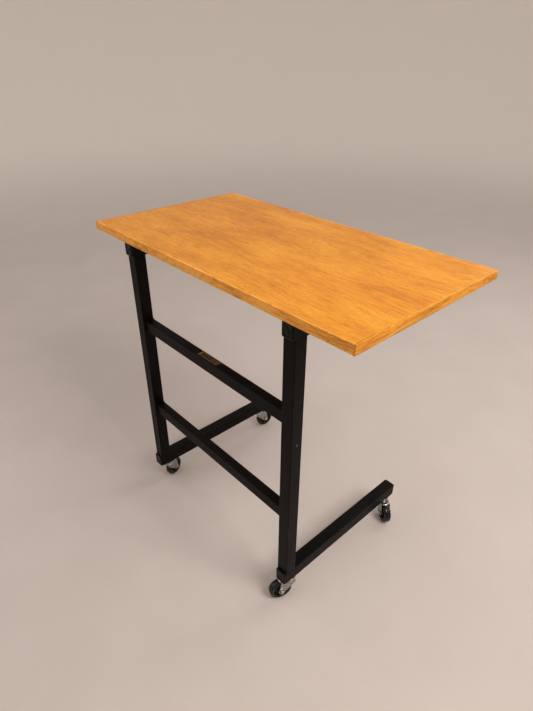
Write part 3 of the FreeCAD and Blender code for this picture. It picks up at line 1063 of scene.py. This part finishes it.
def make_cup(caster):
    low, high = caster.box("swivel_race")
    radius = (high.x - low.x) / 2
    bore, inside, under = KINGPIN_RADIUS + 0.02 * MM, radius - CUP_WALL, high.z - CUP_WALL
    outline = [(bore, high.z), (radius, high.z), (radius, low.z)]
    outline += [(inside, low.z), (inside, under), (bore, under)]
    outline = rounded(outline, {1: 2.4 * MM, 2: 0.7 * MM, 3: 0.7 * MM, 4: 1.2 * MM})
    mesh = bmesh.new()
    turned(mesh, outline, caster.space, 96)
    caster_piece(caster, "race_cup", mesh, zinc, "swivel_race")


print("stem", STEM_RADIUS * 2 / MM, "mm, kingpin", KINGPIN_RADIUS * 2 / MM, "mm across")

# %% [markdown]
# The balls run between the cup and the fork's dish.  They repeat, so a recipe
# sets them round a ring, which is then carried to the caster's place.


# %% The ring of balls
BALL_COUNT = 14
ball_ring = Recipe("ball_ring", {"Count": "INT", "Ring radius": "FLOAT", "Ball radius": "FLOAT"})
ball = ball_ring.ball(20, 12, ball_ring.value("Ball radius"))
ball_ring.end(ball_ring.copies(ball_ring.ring("Count", "Ring radius"), ball), steel, smooth=True)


def make_balls(caster):
    low, high = caster.box("bearing_balls")
    ball = (high.z - low.z) / 2
    values = {"Count": BALL_COUNT, "Ring radius": (high.x - low.x) / 2 - ball, "Ball radius": ball}
    piece = ball_ring.run("ball_ring_" + caster.name, points_mesh(), values)
    piece.data.transform(caster.space @ Matrix.Translation((0, 0, (low.z + high.z) / 2)))
    seated(piece, "frame", "bearing_balls_" + caster.name)


print("balls in a ring", BALL_COUNT)

# %% [markdown]
# The fork is pressed from one sheet: a crown plate with a bend on each side
# that turns down into a cheek, and each cheek tapers to a round boss at the
# axle.  The natural way to draw it is the way it is pressed.  A thin surface is
# laid out with flat crown, round bends and flat cheeks, holes included.


# %% Lay out the fork's sheet
FORK_FRONT = 16.0 * MM
FORK_REAR = 34.0 * MM
FORK_FRONT_DROP = 12.0 * MM
FORK_REAR_DROP = 6.0 * MM
FORK_BEND = 5.0 * MM
BOSS_RADIUS = 10.0 * MM
AXLE_RADIUS = 4.0 * MM
PIN_HOLE = KINGPIN_RADIUS + 0.05 * MM


def arc(centre, radius, start, end, steps):
    """Points along an arc, both ends included."""
    turns = [start + (end - start) * i / steps for i in range(steps + 1)]
    return [(centre[0] + radius * math.cos(t), centre[1] + radius * math.sin(t)) for t in turns]


def hole_loop(centre, radius, count):
    """Points round a hole, each of them once."""
    return arc(centre, radius, 0, 2 * math.pi * (count - 1) / count, count - 1)


def cheek_outline(top, crown, axle):
    """A cheek's edge in X and Z, from the front of the bend to its rear and round the boss."""
    steps = 16
    edge = [(-FORK_FRONT + (FORK_FRONT + FORK_REAR) * i / steps, top) for i in range(steps + 1)]
    rear, front = (FORK_REAR, crown - FORK_REAR_DROP), (-FORK_FRONT, crown - FORK_FRONT_DROP)

    def touch(corner, side):
        x, z = corner[0] - axle[0], corner[1] - axle[1]
        return math.atan2(z, x) + side * math.acos(BOSS_RADIUS / math.hypot(x, z))

    start, end = touch(rear, -1), touch(front, 1)
    while end > start:
        end -= 2 * math.pi
    return edge + [rear] + arc(axle, BOSS_RADIUS, start, end, 28) + [front]


def filled(mesh, loops):
    """Fills a flat outline and its holes."""
    edges = []
    for loop in loops:
        ring = [mesh.verts.new(point) for point in loop]
        edges += [mesh.edges.new((ring[i - 1], ring[i])) for i in range(len(ring))]
    bmesh.ops.triangle_fill(mesh, use_beauty=True, use_dissolve=False, edges=edges)


def pressed_sheet(space, half, crown, axle):
    """The fork's outer surface, without a thickness."""
    top, flat = crown - FORK_BEND, half - FORK_BEND
    mesh = bmesh.new()
    outline = cheek_outline(top, crown, axle)
    edge = [x for x, z in outline if z == top]
    cheek = [outline, hole_loop(axle, AXLE_RADIUS, 24)]
    for side in (-1, 1):
        filled(mesh, [[space @ Vector((x, side * half, z)) for x, z in loop] for loop in cheek])
        bend = arc((flat, top), FORK_BEND, 0, math.pi / 2, 6)
        rows = [[mesh.verts.new(space @ Vector((x, side * y, z))) for x in edge] for y, z in bend]
        joined(mesh, rows, closed=False)
    plate = [(x, -flat) for x in edge] + [(x, flat) for x in reversed(edge)]
    plate_loops = [plate, hole_loop((0, 0), PIN_HOLE, 32)]
    filled(mesh, [[space @ Vector((x, y, crown)) for x, y in loop] for loop in plate_loops])
    data = mesh_data("sheet", mesh)
    if max(data.polygons, key=lambda face: face.center.z).normal.z < 0:
        data.flip_normals()
    return added("sheet", data)


print("boss", BOSS_RADIUS * 2 / MM, "mm across, axle hole", AXLE_RADIUS * 2 / MM, "mm")

# %% [markdown]
# A Solidify modifier then gives the sheet its thickness and a Bevel softens the
# cut edges.  The dish over the balls is turned.  The rear edge of the crown
# bulges over the wheel and rolls down in a lip, which is part of a turned shape.


# %% Press the fork
FORK_WALL = 2.5 * MM
FORK_LIP = 5.0 * MM
LIP_WALL = 2.2 * MM
LIP_ROLL = 4.6 * MM
LIP_DROP = 5.4 * MM
LIP_DEPTH = 9 * MM
CUT_EDGE = 0.45 * MM
DISH_DROP = 4.4 * MM
DISH_WALL = 1.8 * MM
CROWN_SINK = 0.3 * MM


def thicken(sheet):
    """Gives a sheet its thickness inwards, and softens its cut edges."""
    wall = sheet.modifiers.new("wall", "SOLIDIFY")
    wall.thickness = FORK_WALL
    wall.offset = -1
    wall.use_even_offset = True
    edge = sheet.modifiers.new("edge", "BEVEL")
    edge.width = CUT_EDGE
    edge.segments = 2
    edge.limit_method = "ANGLE"
    edge.angle_limit = math.radians(50)
    bake(sheet)


def add_lip(mesh, space, half, crown):
    """The rolled rear edge of the crown: a turned shape, but only a part of its turn."""
    chord = half - FORK_BEND
    reach = (chord**2 + FORK_LIP**2) / (2 * FORK_LIP)
    centre = FORK_REAR + FORK_LIP - reach
    start, inside = reach - LIP_DEPTH, reach - LIP_WALL
    outline = [(reach, crown - LIP_DROP), (reach, crown), (start, crown)]
    outline += [(start, crown - LIP_WALL), (inside, crown - LIP_WALL), (inside, crown - LIP_DROP)]
    outline = rounded(outline, {0: 0.5 * MM, 1: LIP_ROLL, 4: LIP_ROLL - LIP_WALL, 5: 0.5 * MM}, steps=6)
    widest = math.asin(min(1.0, (half - FORK_WALL * 0.6) / reach))
    steps = 40
    loops = []
    for i in range(steps + 1):
        turn = -widest + 2 * widest * i / steps
        spun = [(centre + r * math.cos(turn), r * math.sin(turn), h) for r, h in outline]
        loops.append([space @ Vector(point) for point in spun])
    lofted(mesh, loops)


def add_dish(mesh, space, crown, radius):
    """The round dish under the balls, with its own rolled edge."""
    inside, low, under = radius - DISH_WALL, crown - DISH_DROP, crown - 2.0 * MM
    outline = [(PIN_HOLE, crown), (radius, crown), (radius, low)]
    outline += [(inside, low), (inside, under), (PIN_HOLE, under)]
    turned(mesh, rounded(outline, {1: 2.6 * MM, 2: 0.6 * MM, 3: 0.6 * MM}, steps=6), space, 96)


def make_fork(caster):
    low, high = caster.box("fork")
    half = caster.box("axle_nut")[0].y
    cup_low, cup_high = caster.box("swivel_race")
    axle = (high.x - BOSS_RADIUS, low.z + BOSS_RADIUS)
    sheet = pressed_sheet(caster.space, half, high.z - CROWN_SINK, axle)
    thicken(sheet)
    mesh = bmesh.new()
    mesh.from_mesh(sheet.data)
    bpy.data.objects.remove(sheet)
    add_lip(mesh, caster.space, half, high.z - CROWN_SINK * 0.5)
    add_dish(mesh, caster.space, high.z, (cup_high.x - cup_low.x) / 2)
    caster_piece(caster, "fork_pressing", mesh, zinc, "fork", "fork_" + caster.name)


print("fork sheet", FORK_WALL / MM, "mm thick, bent at", FORK_BEND / MM, "mm")

# %% [markdown]
# The axle is an ordinary bolt with a flanged hexagon head, and its nut has a
# rounded collar that holds a locking ring.


# %% Axle bolt and nut
AXLE_FLATS = 13 * MM
AXLE_PITCH = 1.25 * MM
FLANGE_RADIUS = 7.4 * MM
FLANGE_HEIGHT = 0.9 * MM
HEAD_CHAMFER = 1.3 * MM
NUT_CHAMFER = 1.1 * MM
LOCK_RADIUS = 5.9 * MM
BORE = AXLE_RADIUS + 0.05 * MM


def make_bolt(caster):
    low, high = caster.box("axle_bolt")
    half = caster.box("axle_nut")[0].y
    axle = caster.axle("axle_nut")
    head = axle @ Matrix.Translation((0, 0, -half)) @ Matrix.Rotation(math.pi, 4, "X")
    flange = [(0, 0), (FLANGE_RADIUS, 0), (FLANGE_RADIUS, 0.5 * MM)]
    flange += [(FLANGE_RADIUS - 1 * MM, FLANGE_HEIGHT), (0, FLANGE_HEIGHT)]
    shank = [(0.0, -half + 0.2 * MM), (AXLE_RADIUS, -half + 0.2 * MM), (AXLE_RADIUS, half)]
    at = half
    while at + AXLE_PITCH < high.y - 0.6 * MM:
        shank += [(AXLE_RADIUS, at + AXLE_PITCH * 0.4), (AXLE_RADIUS * 0.86, at + AXLE_PITCH * 0.8)]
        at += AXLE_PITCH
    shank += [(AXLE_RADIUS * 0.8, high.y), (0.0, high.y)]
    mesh = bmesh.new()
    hexagon(mesh, AXLE_FLATS, (0.6 * MM, -half - low.y), head, HEAD_CHAMFER)
    turned(mesh, flange, head, 48)
    turned(mesh, shank, axle, 32)
    caster_piece(caster, "axle_screw", mesh, zinc, "axle_bolt", "fork_" + caster.name)


def make_nut(caster):
    low, high = caster.box("axle_nut")
    axle = caster.axle("axle_nut")
    base = high.y - 2.4 * MM
    collar = [(BORE, base), (LOCK_RADIUS, base), (LOCK_RADIUS, high.y), (BORE, high.y)]
    mesh = bmesh.new()
    nut_heights = (low.y, high.y - 1.6 * MM)
    hexagon(mesh, AXLE_FLATS, nut_heights, axle, NUT_CHAMFER, both=True, hole=AXLE_RADIUS)
    turned(mesh, rounded(collar, {2: 1.4 * MM}), axle, 48)
    caster_piece(caster, "lock_nut", mesh, zinc, "axle_nut", "fork_" + caster.name)


print("axle", AXLE_RADIUS * 2 / MM, "mm, with flats of", AXLE_FLATS / MM, "mm")

# %% [markdown]
# ## The wheel
#
# The wheel is a moulded centre with a solid tyre on it.  Both are turned from
# an outline whose two sides mirror each other.  The tyre's shoulders are large
# rounds, with a step in the sidewall and a fine parting line left by the mould.


# %% Turn the wheel centre and the tyre
HUB_RADIUS = 9.0 * MM
RIM_WALL = 3.0 * MM
HALF_WEB = 2.4 * MM
WEB_FLARE = 0.7 * MM
TYRE_SHOULDER = 7.0 * MM
TYRE_STEP = (1.6 * MM, 0.8 * MM)
PARTING_LINE = (0.12 * MM, 0.25 * MM)


def mirrored(half, *middle):
    """An outline from its lower half: the half, what lies between, and the mirrored half."""
    return half + list(middle) + [(radius, -height) for radius, height in reversed(half)]


def make_wheel_centre(caster):
    low, high = caster.box("wheel_centre")
    tyre_low, tyre_high = caster.box("tyre")
    half_hub = (high.y - low.y) / 2
    half_rim = (tyre_high.y - tyre_low.y) / 2 - 1 * MM
    rim = (high.z - low.z) / 2
    inner = rim - RIM_WALL
    half = [(BORE, -half_hub), (HUB_RADIUS, -half_hub), (HUB_RADIUS + WEB_FLARE, -HALF_WEB)]
    half += [(inner - WEB_FLARE, -HALF_WEB), (inner, -half_rim), (rim, -half_rim)]
    big, small = 1.3 * MM, 0.6 * MM
    corners = {1: small, 2: big, 3: big, 4: small, 7: small, 8: big, 9: big, 10: small}
    mesh = bmesh.new()
    turned(mesh, rounded(mirrored(half), corners), caster.axle("tyre"), 96)
    caster_piece(caster, "wheel_moulding", mesh, wheel_plastic, "wheel_centre", "wheel_" + caster.name)


def make_tyre(caster):
    low, high = caster.box("tyre")
    outer, side = (high.z - low.z) / 2, (high.y - low.y) / 2
    centre_low, centre_high = caster.box("wheel_centre")
    inner = (centre_high.z - centre_low.z) / 2
    rise, line = PARTING_LINE
    out, back = TYRE_STEP
    half = [(inner, -side + back), (inner + out, -side), (outer, -side), (outer, -line)]
    outline = rounded(mirrored(half, (outer + rise, 0.0)), {2: TYRE_SHOULDER, 6: TYRE_SHOULDER}, steps=10)
    mesh = bmesh.new()
    turned(mesh, outline, caster.axle("tyre"), 120)
    caster_piece(caster, "tyre_ring", mesh, tyre_rubber, "tyre", "wheel_" + caster.name, sharp=50)


print("wheel rim", RIM_WALL / MM, "mm, web", HALF_WEB * 2 / MM, "mm")

# %% [markdown]
# The ribs that stiffen the centre repeat round the axle, and each runs through
# the web to both sides.  A recipe places them and turns each by its share of a
# full turn.


# %% The ribs of the wheel
RIB_COUNT = 8
RIB_DEPTH = 17 * MM
RIB_THICKNESS = 1.8 * MM
RIB_ROOT = 0.4 * MM
rib_inputs = {"Count": "INT", "Middle": "FLOAT", "Length": "FLOAT", "Depth": "FLOAT", "Thickness": "FLOAT"}
wheel_ribs = Recipe("wheel_ribs", rib_inputs)
rib_sides = {"X": "Length", "Y": "Thickness", "Z": "Depth"}
rib_sides = {axis: wheel_ribs.value(key) for axis, key in rib_sides.items()}
rib_size = wheel_ribs.node("ShaderNodeCombineXYZ", None, rib_sides)
rib_box = {"Size": rib_size, "Vertices X": 5, "Vertices Y": 2, "Vertices Z": 3}
rib = wheel_ribs.node("GeometryNodeMeshCube", None, rib_box)
share = wheel_ribs.node("GeometryNodeInputIndex") * (2 * math.pi) / wheel_ribs.value("Count")
aim = wheel_ribs.node("ShaderNodeCombineXYZ", None, {"Z": share})
wheel_ribs.end(wheel_ribs.copies(wheel_ribs.ring("Count", "Middle"), rib, Rotation=aim), wheel_plastic)


def make_ribs(caster):
    low, high = caster.box("wheel_centre")
    inner = (high.z - low.z) / 2 - RIM_WALL + RIB_ROOT
    start = HUB_RADIUS - RIB_ROOT
    values = {"Count": RIB_COUNT, "Middle": (inner + start) / 2, "Length": inner - start}
    values |= {"Depth": RIB_DEPTH, "Thickness": RIB_THICKNESS}
    piece = wheel_ribs.run("wheel_ribs_" + caster.name, points_mesh(), values)
    piece.data.transform(caster.axle("tyre"))
    seated(piece, "wheel_" + caster.name)


print("ribs in a wheel", RIB_COUNT)

# %% [markdown]
# Every caster has the same parts, and only its place and its turn differ, so
# one list of makers builds all four.

# %% Build all four casters
fixed_parts = [make_stem, make_cup, make_balls]
turning_parts = [make_fork, make_bolt, make_nut, make_wheel_centre, make_tyre, make_ribs]
for caster in casters:
    for make in fixed_parts + turning_parts:
        make(caster)
print("casters", [caster.name for caster in casters])

# %% [markdown]
# ## A worn patch of foil
#
# An old self-adhesive strip is still stuck to the top of the upper crossbar.
# It is blank, without any words: a scratched gold film, with a dark panel and a
# pale line left on it.  A thin sheet that follows the steel, with a ragged edge
# made by noise, is enough.


# %% The finish of the foil
def foil_finish(middle):
    finish = Finish("old_foil")
    scratches = finish.ramp(finish.clouds(240.0, 6.0, 0.8, finish.stretched((0.5, 1.6, 1.0))), 0.50, 0.60)
    stains = finish.clouds(60.0, 4.0, 0.6)
    gold = finish.colours(stains, [(0.35, (0.085, 0.045, 0.008)), (0.65, (0.22, 0.125, 0.024))])
    x, y = finish.axis("X"), finish.axis("Y") - middle.y

    def band(place, centre, half_width, softness):
        """1 within a band of a coordinate, in millimetres, and 0 outside it."""
        return finish.ramp(half_width * MM - (place - centre * MM).absolute(), 0.0, softness * MM)

    panel = band(x, -12, 26, 3) * band(y, 1, 6, 2)
    colour = finish.blend(panel.largest(scratches * 0.6) * 0.9, gold, (0.010, 0.008, 0.006))
    colour = finish.blend(band(x, -42, 2, 1) * 0.7, colour, (0.36, 0.32, 0.26))
    normal = finish.bump(scratches, 0.05 * MM)
    return finish.shade(base_color=colour, roughness=stains * 0.2 + 0.35, metallic=0.4, normal=normal)


# %% [markdown]
# The sheet itself is a grid of points whose edge is pulled in and whose middle
# is lifted a little by noise.  A copy below it closes it into a thin solid.


# %% Stick down the foil
FOIL_LENGTH = 92 * MM
FOIL_WIDTH = 21 * MM
FOIL_HEIGHT = 0.12 * MM
FOIL_THICKNESS = 0.1 * MM
FOIL_GRID = (60, 12)


def foil_point(u, v):
    """A point of the foil, from its shares of the length and the width."""
    ragged = 1 - 0.06 * abs(noise.noise(Vector((u * 9, v * 5, 3))))
    lift = 0.10 * MM * max(0.0, noise.noise(Vector((u * 7, v * 4, 0))))
    return Vector((u * FOIL_LENGTH / 2 * ragged, v * FOIL_WIDTH / 2 * ragged, lift))


bar_low, bar_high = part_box("crossbar_upper")
foil_middle = Vector(((bar_low.x + bar_high.x) / 2, (bar_low.y + bar_high.y) / 2, bar_high.z + FOIL_HEIGHT))
along, across = [[i / count * 2 - 1 for i in range(count + 1)] for count in FOIL_GRID]
foil = bmesh.new()
grid = [[foil.verts.new(foil_middle + foil_point(u, v)) for u in along] for v in across]
joined(foil, grid, closed=False)
under = bmesh.ops.duplicate(foil, geom=foil.faces[:])["geom"]
copied = [item for item in under if isinstance(item, bmesh.types.BMVert)]
bmesh.ops.translate(foil, verts=copied, vec=(0, 0, -FOIL_THICKNESS))
bmesh.ops.bridge_loops(foil, edges=[edge for edge in foil.edges if edge.is_boundary])
finished("blank_foil", foil, foil_finish(foil_middle), "frame")

# %% [markdown]
# ## Floor, light and camera
#
# The desk stands on a plain pale floor.  The floor is a wide bowl: it is flat
# under the desk and rises far away on all sides, so that no horizon shows from
# any angle, and its colour grows paler with distance, as a studio wall does.


# %% Floor
FLAT_REACH = (2.0, 5.0, 8.0)
BOWL_CURVE = 4.0
BOWL_TOP = 12.5


def pale_floor():
    finish = Finish("pale_floor")
    cloud = finish.clouds(3.0, 3.0, 0.5)
    colour = finish.colours(cloud, [(0.3, (0.500, 0.440, 0.412)), (0.7, (0.530, 0.468, 0.440))])
    reach = finish.vector("LENGTH", finish.place, out="Value")
    colour = finish.blend(finish.ramp(reach, 2.5, 9.0), colour, (0.86, 0.80, 0.75))
    normal = finish.bump(finish.clouds(240.0, 2.0, 0.5), 0.4 * MM)
    return finish.shade(base_color=colour, roughness=cloud * 0.05 + 0.85, normal=normal)


def studio_bowl():
    """A wide floor whose far rim rises all round."""
    flat, curve = FLAT_REACH[-1], BOWL_CURVE
    profile = [(reach, 0.0) for reach in FLAT_REACH]
    bends = [math.radians(9 * i) for i in range(1, 10)]
    profile += [(flat + curve * math.sin(a), curve * (1 - math.cos(a))) for a in bends]
    profile.append((flat + curve, BOWL_TOP))
    mesh = bmesh.new()
    rings = [[mesh.verts.new((*polar(reach, turn), z)) for turn in even_turns(96)] for reach, z in profile]
    mesh.faces.new(rings[0])
    joined(mesh, rings)
    data = mesh_data("floor", mesh)
    data.shade_smooth()
    if data.polygons[0].normal.z < 0:
        data.flip_normals()
    data.materials.append(pale_floor())
    return added("floor", data)


floor = studio_bowl()
print("floor at z = 0,", round(floor.dimensions.x, 1), "m wide")

# %% [markdown]
# The strongest lamp is on the right, so the right faces of the tubes and the
# right end of the board are the brightest, and the long back edge stays in half
# shade.  All the lamps are large and soft, and a pale sky fills the shadows.


# %% Lamps and sky
def lamp(name, place, size, power, colour):
    """A square soft lamp that faces the middle of the desk."""
    data = bpy.data.lights.new(name, "AREA")
    data.size = size
    data.energy = power
    data.color = colour
    thing = added(name, data)
    thing.location = place
    thing.rotation_euler = (middle_of_desk - Vector(place)).to_track_quat("-Z", "Y").to_euler()


middle_of_desk = Vector((0.0, 0.0, 0.7))
lamp("key", (2.3, 0.1, 2.9), 1.3, 74, (1.0, 0.95, 0.88))
lamp("back", (0.6, 2.9, 2.6), 1.6, 30, (1.0, 0.95, 0.90))
lamp("fill", (-1.2, -2.9, 2.0), 2.6, 22, (1.0, 0.96, 0.92))
world = bpy.data.worlds.new("studio")
bpy.context.scene.world = world
world.use_nodes = True
sky = world.node_tree.nodes["Background"]
sky.inputs["Color"].default_value = (0.94, 0.90, 0.86, 1)
sky.inputs["Strength"].default_value = 0.76
bpy.context.scene.view_settings.view_transform = "Standard"

# %% [markdown]
# The camera stands at the desk's back right corner, at about the eye height of
# someone on their feet, and looks down at the board.


# %% Camera
def aim_camera(place, azimuth, elevation, roll, lens):
    """A camera that looks along an azimuth and down by an elevation, in degrees."""
    a, e, r = map(math.radians, (azimuth, elevation, roll))
    ahead = Vector((-math.sin(a) * math.cos(e), math.cos(a) * math.cos(e), -math.sin(e)))
    right = Vector((math.cos(a), math.sin(a), 0))
    up = right.cross(ahead)
    right, up = right * math.cos(r) + up * math.sin(r), up * math.cos(r) - right * math.sin(r)
    data = bpy.data.cameras.new("camera")
    data.lens = lens
    data.sensor_width = 36
    camera = added("camera", data)
    camera.matrix_world = Matrix.Translation(place) @ Matrix((right, up, -ahead)).transposed().to_4x4()
    bpy.context.scene.camera = camera
    print("camera at", [round(v, 2) for v in place], "with a lens of", lens, "mm")


board_middle = (board_low + board_high) / 2
board_top = Vector((board_middle.x, board_middle.y, board_high.z))
camera_offset = Vector((1.0570, -0.9927, 0.4936))
aim_camera(board_top + camera_offset, azimuth=47.539, elevation=31.419, roll=0.272, lens=25.519)
